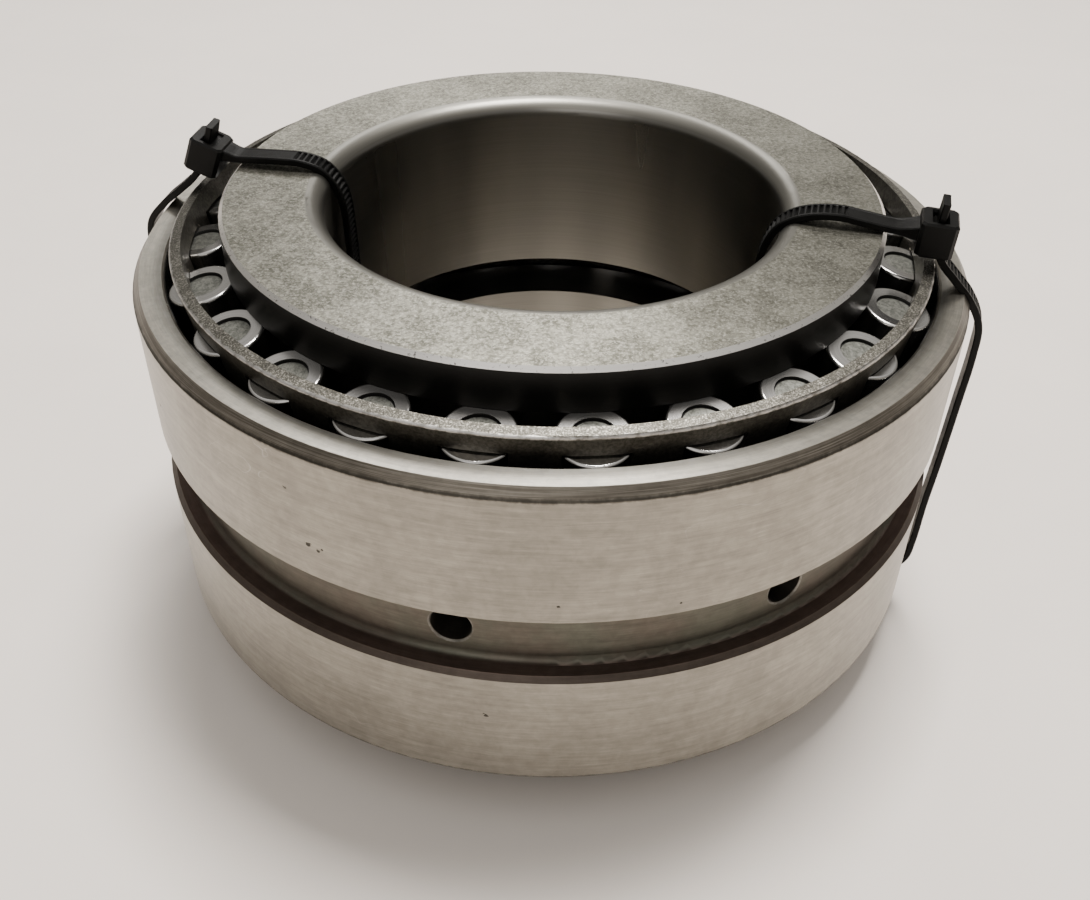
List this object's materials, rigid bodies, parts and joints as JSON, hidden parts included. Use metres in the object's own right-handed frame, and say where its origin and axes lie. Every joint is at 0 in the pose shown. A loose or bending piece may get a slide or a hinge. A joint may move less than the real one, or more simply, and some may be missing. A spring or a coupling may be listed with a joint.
{
  "type": "tapered roller bearing",
  "caption": "Double-row tapered roller bearing: a one-piece double cup with a wide oil groove and radial oil holes, and two turning cones with caged tapered rollers.",
  "frame": {"origin": "on the bore axis, at the middle of the bearing's width", "axes": "+Z along the bore axis, from the lower row to the upper row; +X and +Y across, with the first oil hole at azimuth -102 degrees from +X"},
  "size_m": [0.1682, 0.1682, 0.092],
  "materials": {
    "cup_steel": "ground bearing steel, fine circumferential lay, light handling marks",
    "cone_steel": "ground bearing steel under a mottled grey oil film",
    "cage_steel": "pressed steel sheet, dark tumbled finish",
    "roller_steel": "ground rollers with bright end lands and matte dark end recesses"
  },
  "bodies": {
    "cup": {"cup": "cup_steel"},
    "upper_cone": {"upper_cone": "cone_steel"},
    "lower_cone": {"lower_cone": "cone_steel"},
    "upper_cage": {"upper_cage": "cage_steel"},
    "lower_cage": {"lower_cage": "cage_steel"},
    "upper_roller_01": {"upper_roller_01": "roller_steel"},
    "upper_roller_02": {"upper_roller_02": "roller_steel"},
    "upper_roller_03": {"upper_roller_03": "roller_steel"},
    "upper_roller_04": {"upper_roller_04": "roller_steel"},
    "upper_roller_05": {"upper_roller_05": "roller_steel"},
    "upper_roller_06": {"upper_roller_06": "roller_steel"},
    "upper_roller_07": {"upper_roller_07": "roller_steel"},
    "upper_roller_08": {"upper_roller_08": "roller_steel"},
    "upper_roller_09": {"upper_roller_09": "roller_steel"},
    "upper_roller_10": {"upper_roller_10": "roller_steel"},
    "upper_roller_11": {"upper_roller_11": "roller_steel"},
    "upper_roller_12": {"upper_roller_12": "roller_steel"},
    "upper_roller_13": {"upper_roller_13": "roller_steel"},
    "upper_roller_14": {"upper_roller_14": "roller_steel"},
    "upper_roller_15": {"upper_roller_15": "roller_steel"},
    "upper_roller_16": {"upper_roller_16": "roller_steel"},
    "upper_roller_17": {"upper_roller_17": "roller_steel"},
    "upper_roller_18": {"upper_roller_18": "roller_steel"},
    "upper_roller_19": {"upper_roller_19": "roller_steel"},
    "upper_roller_20": {"upper_roller_20": "roller_steel"},
    "upper_roller_21": {"upper_roller_21": "roller_steel"},
    "upper_roller_22": {"upper_roller_22": "roller_steel"},
    "upper_roller_23": {"upper_roller_23": "roller_steel"},
    "upper_roller_24": {"upper_roller_24": "roller_steel"},
    "lower_roller_01": {"lower_roller_01": "roller_steel"},
    "lower_roller_02": {"lower_roller_02": "roller_steel"},
    "lower_roller_03": {"lower_roller_03": "roller_steel"},
    "lower_roller_04": {"lower_roller_04": "roller_steel"},
    "lower_roller_05": {"lower_roller_05": "roller_steel"},
    "lower_roller_06": {"lower_roller_06": "roller_steel"},
    "lower_roller_07": {"lower_roller_07": "roller_steel"},
    "lower_roller_08": {"lower_roller_08": "roller_steel"},
    "lower_roller_09": {"lower_roller_09": "roller_steel"},
    "lower_roller_10": {"lower_roller_10": "roller_steel"},
    "lower_roller_11": {"lower_roller_11": "roller_steel"},
    "lower_roller_12": {"lower_roller_12": "roller_steel"},
    "lower_roller_13": {"lower_roller_13": "roller_steel"},
    "lower_roller_14": {"lower_roller_14": "roller_steel"},
    "lower_roller_15": {"lower_roller_15": "roller_steel"},
    "lower_roller_16": {"lower_roller_16": "roller_steel"},
    "lower_roller_17": {"lower_roller_17": "roller_steel"},
    "lower_roller_18": {"lower_roller_18": "roller_steel"},
    "lower_roller_19": {"lower_roller_19": "roller_steel"},
    "lower_roller_20": {"lower_roller_20": "roller_steel"},
    "lower_roller_21": {"lower_roller_21": "roller_steel"},
    "lower_roller_22": {"lower_roller_22": "roller_steel"},
    "lower_roller_23": {"lower_roller_23": "roller_steel"},
    "lower_roller_24": {"lower_roller_24": "roller_steel"}
  },
  "joints": [
    {"name": "upper_cone_turn", "type": "hinge", "parent": "cup", "child": "upper_cone", "pos_m": [0, 0, 0.0254], "axis": [0, 0, 1], "continuous": true},
    {"name": "upper_cage_turn", "type": "hinge", "parent": "cup", "child": "upper_cage", "pos_m": [0, 0, 0.0254], "axis": [0, 0, 1], "continuous": true},
    {"name": "upper_roller_01_spin", "type": "hinge", "parent": "upper_cage", "child": "upper_roller_01", "pos_m": [0.0069, -0.06798, 0.02248], "axis": [0.02, -0.197, 0.9802], "continuous": true},
    {"name": "upper_roller_02_spin", "type": "hinge", "parent": "upper_cage", "child": "upper_roller_02", "pos_m": [0.02426, -0.06387, 0.02248], "axis": [0.0703, -0.1852, 0.9802], "continuous": true},
    {"name": "upper_roller_03_spin", "type": "hinge", "parent": "upper_cage", "child": "upper_roller_03", "pos_m": [0.03997, -0.05542, 0.02248], "axis": [0.1159, -0.1606, 0.9802], "continuous": true},
    {"name": "upper_roller_04_spin", "type": "hinge", "parent": "upper_cage", "child": "upper_roller_04", "pos_m": [0.05295, -0.04318, 0.02248], "axis": [0.1535, -0.1252, 0.9802], "continuous": true},
    {"name": "upper_roller_05_spin", "type": "hinge", "parent": "upper_cage", "child": "upper_roller_05", "pos_m": [0.06232, -0.02801, 0.02248], "axis": [0.1807, -0.0812, 0.9802], "continuous": true},
    {"name": "upper_roller_06_spin", "type": "hinge", "parent": "upper_cage", "child": "upper_roller_06", "pos_m": [0.06745, -0.01092, 0.02248], "axis": [0.1955, -0.0317, 0.9802], "continuous": true},
    {"name": "upper_roller_07_spin", "type": "hinge", "parent": "upper_cage", "child": "upper_roller_07", "pos_m": [0.06798, 0.0069, 0.02248], "axis": [0.197, 0.02, 0.9802], "continuous": true},
    {"name": "upper_roller_08_spin", "type": "hinge", "parent": "upper_cage", "child": "upper_roller_08", "pos_m": [0.06387, 0.02426, 0.02248], "axis": [0.1852, 0.0703, 0.9802], "continuous": true},
    {"name": "upper_roller_09_spin", "type": "hinge", "parent": "upper_cage", "child": "upper_roller_09", "pos_m": [0.05542, 0.03997, 0.02248], "axis": [0.1606, 0.1159, 0.9802], "continuous": true},
    {"name": "upper_roller_10_spin", "type": "hinge", "parent": "upper_cage", "child": "upper_roller_10", "pos_m": [0.04318, 0.05295, 0.02248], "axis": [0.1252, 0.1535, 0.9802], "continuous": true},
    {"name": "upper_roller_11_spin", "type": "hinge", "parent": "upper_cage", "child": "upper_roller_11", "pos_m": [0.02801, 0.06232, 0.02248], "axis": [0.0812, 0.1807, 0.9802], "continuous": true},
    {"name": "upper_roller_12_spin", "type": "hinge", "parent": "upper_cage", "child": "upper_roller_12", "pos_m": [0.01092, 0.06745, 0.02248], "axis": [0.0317, 0.1955, 0.9802], "continuous": true},
    {"name": "upper_roller_13_spin", "type": "hinge", "parent": "upper_cage", "child": "upper_roller_13", "pos_m": [-0.0069, 0.06798, 0.02248], "axis": [-0.02, 0.197, 0.9802], "continuous": true},
    {"name": "upper_roller_14_spin", "type": "hinge", "parent": "upper_cage", "child": "upper_roller_14", "pos_m": [-0.02426, 0.06387, 0.02248], "axis": [-0.0703, 0.1852, 0.9802], "continuous": true},
    {"name": "upper_roller_15_spin", "type": "hinge", "parent": "upper_cage", "child": "upper_roller_15", "pos_m": [-0.03997, 0.05542, 0.02248], "axis": [-0.1159, 0.1606, 0.9802], "continuous": true},
    {"name": "upper_roller_16_spin", "type": "hinge", "parent": "upper_cage", "child": "upper_roller_16", "pos_m": [-0.05295, 0.04318, 0.02248], "axis": [-0.1535, 0.1252, 0.9802], "continuous": true},
    {"name": "upper_roller_17_spin", "type": "hinge", "parent": "upper_cage", "child": "upper_roller_17", "pos_m": [-0.06232, 0.02801, 0.02248], "axis": [-0.1807, 0.0812, 0.9802], "continuous": true},
    {"name": "upper_roller_18_spin", "type": "hinge", "parent": "upper_cage", "child": "upper_roller_18", "pos_m": [-0.06745, 0.01092, 0.02248], "axis": [-0.1955, 0.0317, 0.9802], "continuous": true},
    {"name": "upper_roller_19_spin", "type": "hinge", "parent": "upper_cage", "child": "upper_roller_19", "pos_m": [-0.06798, -0.0069, 0.02248], "axis": [-0.197, -0.02, 0.9802], "continuous": true},
    {"name": "upper_roller_20_spin", "type": "hinge", "parent": "upper_cage", "child": "upper_roller_20", "pos_m": [-0.06387, -0.02426, 0.02248], "axis": [-0.1852, -0.0703, 0.9802], "continuous": true},
    {"name": "upper_roller_21_spin", "type": "hinge", "parent": "upper_cage", "child": "upper_roller_21", "pos_m": [-0.05542, -0.03997, 0.02248], "axis": [-0.1606, -0.1159, 0.9802], "continuous": true},
    {"name": "upper_roller_22_spin", "type": "hinge", "parent": "upper_cage", "child": "upper_roller_22", "pos_m": [-0.04318, -0.05295, 0.02248], "axis": [-0.1252, -0.1535, 0.9802], "continuous": true},
    {"name": "upper_roller_23_spin", "type": "hinge", "parent": "upper_cage", "child": "upper_roller_23", "pos_m": [-0.02801, -0.06232, 0.02248], "axis": [-0.0812, -0.1807, 0.9802], "continuous": true},
    {"name": "upper_roller_24_spin", "type": "hinge", "parent": "upper_cage", "child": "upper_roller_24", "pos_m": [-0.01092, -0.06745, 0.02248], "axis": [-0.0317, -0.1955, 0.9802], "continuous": true},
    {"name": "lower_cone_turn", "type": "hinge", "parent": "cup", "child": "lower_cone", "pos_m": [0, 0, -0.0254], "axis": [0, 0, 1], "continuous": true},
    {"name": "lower_cage_turn", "type": "hinge", "parent": "cup", "child": "lower_cage", "pos_m": [0, 0, -0.0254], "axis": [0, 0, 1], "continuous": true},
    {"name": "lower_roller_01_spin", "type": "hinge", "parent": "lower_cage", "child": "lower_roller_01", "pos_m": [0.01537, -0.06657, -0.02248], "axis": [-0.0446, 0.193, 0.9802], "continuous": true},
    {"name": "lower_roller_02_spin", "type": "hinge", "parent": "lower_cage", "child": "lower_roller_02", "pos_m": [0.03208, -0.06033, -0.02248], "axis": [-0.093, 0.1749, 0.9802], "continuous": true},
    {"name": "lower_roller_03_spin", "type": "hinge", "parent": "lower_cage", "child": "lower_roller_03", "pos_m": [0.0466, -0.04997, -0.02248], "axis": [-0.1351, 0.1449, 0.9802], "continuous": true},
    {"name": "lower_roller_04_spin", "type": "hinge", "parent": "lower_cage", "child": "lower_roller_04", "pos_m": [0.05794, -0.03621, -0.02248], "axis": [-0.168, 0.105, 0.9802], "continuous": true},
    {"name": "lower_roller_05_spin", "type": "hinge", "parent": "lower_cage", "child": "lower_roller_05", "pos_m": [0.06534, -0.01998, -0.02248], "axis": [-0.1894, 0.0579, 0.9802], "continuous": true},
    {"name": "lower_roller_06_spin", "type": "hinge", "parent": "lower_cage", "child": "lower_roller_06", "pos_m": [0.06828, -0.00238, -0.02248], "axis": [-0.1979, 0.0069, 0.9802], "continuous": true},
    {"name": "lower_roller_07_spin", "type": "hinge", "parent": "lower_cage", "child": "lower_roller_07", "pos_m": [0.06657, 0.01537, -0.02248], "axis": [-0.193, -0.0446, 0.9802], "continuous": true},
    {"name": "lower_roller_08_spin", "type": "hinge", "parent": "lower_cage", "child": "lower_roller_08", "pos_m": [0.06033, 0.03208, -0.02248], "axis": [-0.1749, -0.093, 0.9802], "continuous": true},
    {"name": "lower_roller_09_spin", "type": "hinge", "parent": "lower_cage", "child": "lower_roller_09", "pos_m": [0.04997, 0.0466, -0.02248], "axis": [-0.1449, -0.1351, 0.9802], "continuous": true},
    {"name": "lower_roller_10_spin", "type": "hinge", "parent": "lower_cage", "child": "lower_roller_10", "pos_m": [0.03621, 0.05794, -0.02248], "axis": [-0.105, -0.168, 0.9802], "continuous": true},
    {"name": "lower_roller_11_spin", "type": "hinge", "parent": "lower_cage", "child": "lower_roller_11", "pos_m": [0.01998, 0.06534, -0.02248], "axis": [-0.0579, -0.1894, 0.9802], "continuous": true},
    {"name": "lower_roller_12_spin", "type": "hinge", "parent": "lower_cage", "child": "lower_roller_12", "pos_m": [0.00238, 0.06828, -0.02248], "axis": [-0.0069, -0.1979, 0.9802], "continuous": true},
    {"name": "lower_roller_13_spin", "type": "hinge", "parent": "lower_cage", "child": "lower_roller_13", "pos_m": [-0.01537, 0.06657, -0.02248], "axis": [0.0446, -0.193, 0.9802], "continuous": true},
    {"name": "lower_roller_14_spin", "type": "hinge", "parent": "lower_cage", "child": "lower_roller_14", "pos_m": [-0.03208, 0.06033, -0.02248], "axis": [0.093, -0.1749, 0.9802], "continuous": true},
    {"name": "lower_roller_15_spin", "type": "hinge", "parent": "lower_cage", "child": "lower_roller_15", "pos_m": [-0.0466, 0.04997, -0.02248], "axis": [0.1351, -0.1449, 0.9802], "continuous": true},
    {"name": "lower_roller_16_spin", "type": "hinge", "parent": "lower_cage", "child": "lower_roller_16", "pos_m": [-0.05794, 0.03621, -0.02248], "axis": [0.168, -0.105, 0.9802], "continuous": true},
    {"name": "lower_roller_17_spin", "type": "hinge", "parent": "lower_cage", "child": "lower_roller_17", "pos_m": [-0.06534, 0.01998, -0.02248], "axis": [0.1894, -0.0579, 0.9802], "continuous": true},
    {"name": "lower_roller_18_spin", "type": "hinge", "parent": "lower_cage", "child": "lower_roller_18", "pos_m": [-0.06828, 0.00238, -0.02248], "axis": [0.1979, -0.0069, 0.9802], "continuous": true},
    {"name": "lower_roller_19_spin", "type": "hinge", "parent": "lower_cage", "child": "lower_roller_19", "pos_m": [-0.06657, -0.01537, -0.02248], "axis": [0.193, 0.0446, 0.9802], "continuous": true},
    {"name": "lower_roller_20_spin", "type": "hinge", "parent": "lower_cage", "child": "lower_roller_20", "pos_m": [-0.06033, -0.03208, -0.02248], "axis": [0.1749, 0.093, 0.9802], "continuous": true},
    {"name": "lower_roller_21_spin", "type": "hinge", "parent": "lower_cage", "child": "lower_roller_21", "pos_m": [-0.04997, -0.0466, -0.02248], "axis": [0.1449, 0.1351, 0.9802], "continuous": true},
    {"name": "lower_roller_22_spin", "type": "hinge", "parent": "lower_cage", "child": "lower_roller_22", "pos_m": [-0.03621, -0.05794, -0.02248], "axis": [0.105, 0.168, 0.9802], "continuous": true},
    {"name": "lower_roller_23_spin", "type": "hinge", "parent": "lower_cage", "child": "lower_roller_23", "pos_m": [-0.01998, -0.06534, -0.02248], "axis": [0.0579, 0.1894, 0.9802], "continuous": true},
    {"name": "lower_roller_24_spin", "type": "hinge", "parent": "lower_cage", "child": "lower_roller_24", "pos_m": [-0.00238, -0.06828, -0.02248], "axis": [0.0069, 0.1979, 0.9802], "continuous": true}
  ],
  "couplings": [
    {"joint": "upper_cage_turn", "follows": "upper_cone_turn", "ratio": 0.4535},
    {"joint": "upper_roller_01_spin", "follows": "upper_cone_turn", "ratio": -5.2248},
    {"joint": "upper_roller_02_spin", "follows": "upper_cone_turn", "ratio": -5.2248},
    {"joint": "upper_roller_03_spin", "follows": "upper_cone_turn", "ratio": -5.2248},
    {"joint": "upper_roller_04_spin", "follows": "upper_cone_turn", "ratio": -5.2248},
    {"joint": "upper_roller_05_spin", "follows": "upper_cone_turn", "ratio": -5.2248},
    {"joint": "upper_roller_06_spin", "follows": "upper_cone_turn", "ratio": -5.2248},
    {"joint": "upper_roller_07_spin", "follows": "upper_cone_turn", "ratio": -5.2248},
    {"joint": "upper_roller_08_spin", "follows": "upper_cone_turn", "ratio": -5.2248},
    {"joint": "upper_roller_09_spin", "follows": "upper_cone_turn", "ratio": -5.2248},
    {"joint": "upper_roller_10_spin", "follows": "upper_cone_turn", "ratio": -5.2248},
    {"joint": "upper_roller_11_spin", "follows": "upper_cone_turn", "ratio": -5.2248},
    {"joint": "upper_roller_12_spin", "follows": "upper_cone_turn", "ratio": -5.2248},
    {"joint": "upper_roller_13_spin", "follows": "upper_cone_turn", "ratio": -5.2248},
    {"joint": "upper_roller_14_spin", "follows": "upper_cone_turn", "ratio": -5.2248},
    {"joint": "upper_roller_15_spin", "follows": "upper_cone_turn", "ratio": -5.2248},
    {"joint": "upper_roller_16_spin", "follows": "upper_cone_turn", "ratio": -5.2248},
    {"joint": "upper_roller_17_spin", "follows": "upper_cone_turn", "ratio": -5.2248},
    {"joint": "upper_roller_18_spin", "follows": "upper_cone_turn", "ratio": -5.2248},
    {"joint": "upper_roller_19_spin", "follows": "upper_cone_turn", "ratio": -5.2248},
    {"joint": "upper_roller_20_spin", "follows": "upper_cone_turn", "ratio": -5.2248},
    {"joint": "upper_roller_21_spin", "follows": "upper_cone_turn", "ratio": -5.2248},
    {"joint": "upper_roller_22_spin", "follows": "upper_cone_turn", "ratio": -5.2248},
    {"joint": "upper_roller_23_spin", "follows": "upper_cone_turn", "ratio": -5.2248},
    {"joint": "upper_roller_24_spin", "follows": "upper_cone_turn", "ratio": -5.2248},
    {"joint": "lower_cage_turn", "follows": "lower_cone_turn", "ratio": 0.4535},
    {"joint": "lower_roller_01_spin", "follows": "lower_cone_turn", "ratio": -5.2248},
    {"joint": "lower_roller_02_spin", "follows": "lower_cone_turn", "ratio": -5.2248},
    {"joint": "lower_roller_03_spin", "follows": "lower_cone_turn", "ratio": -5.2248},
    {"joint": "lower_roller_04_spin", "follows": "lower_cone_turn", "ratio": -5.2248},
    {"joint": "lower_roller_05_spin", "follows": "lower_cone_turn", "ratio": -5.2248},
    {"joint": "lower_roller_06_spin", "follows": "lower_cone_turn", "ratio": -5.2248},
    {"joint": "lower_roller_07_spin", "follows": "lower_cone_turn", "ratio": -5.2248},
    {"joint": "lower_roller_08_spin", "follows": "lower_cone_turn", "ratio": -5.2248},
    {"joint": "lower_roller_09_spin", "follows": "lower_cone_turn", "ratio": -5.2248},
    {"joint": "lower_roller_10_spin", "follows": "lower_cone_turn", "ratio": -5.2248},
    {"joint": "lower_roller_11_spin", "follows": "lower_cone_turn", "ratio": -5.2248},
    {"joint": "lower_roller_12_spin", "follows": "lower_cone_turn", "ratio": -5.2248},
    {"joint": "lower_roller_13_spin", "follows": "lower_cone_turn", "ratio": -5.2248},
    {"joint": "lower_roller_14_spin", "follows": "lower_cone_turn", "ratio": -5.2248},
    {"joint": "lower_roller_15_spin", "follows": "lower_cone_turn", "ratio": -5.2248},
    {"joint": "lower_roller_16_spin", "follows": "lower_cone_turn", "ratio": -5.2248},
    {"joint": "lower_roller_17_spin", "follows": "lower_cone_turn", "ratio": -5.2248},
    {"joint": "lower_roller_18_spin", "follows": "lower_cone_turn", "ratio": -5.2248},
    {"joint": "lower_roller_19_spin", "follows": "lower_cone_turn", "ratio": -5.2248},
    {"joint": "lower_roller_20_spin", "follows": "lower_cone_turn", "ratio": -5.2248},
    {"joint": "lower_roller_21_spin", "follows": "lower_cone_turn", "ratio": -5.2248},
    {"joint": "lower_roller_22_spin", "follows": "lower_cone_turn", "ratio": -5.2248},
    {"joint": "lower_roller_23_spin", "follows": "lower_cone_turn", "ratio": -5.2248},
    {"joint": "lower_roller_24_spin", "follows": "lower_cone_turn", "ratio": -5.2248}
  ]
}
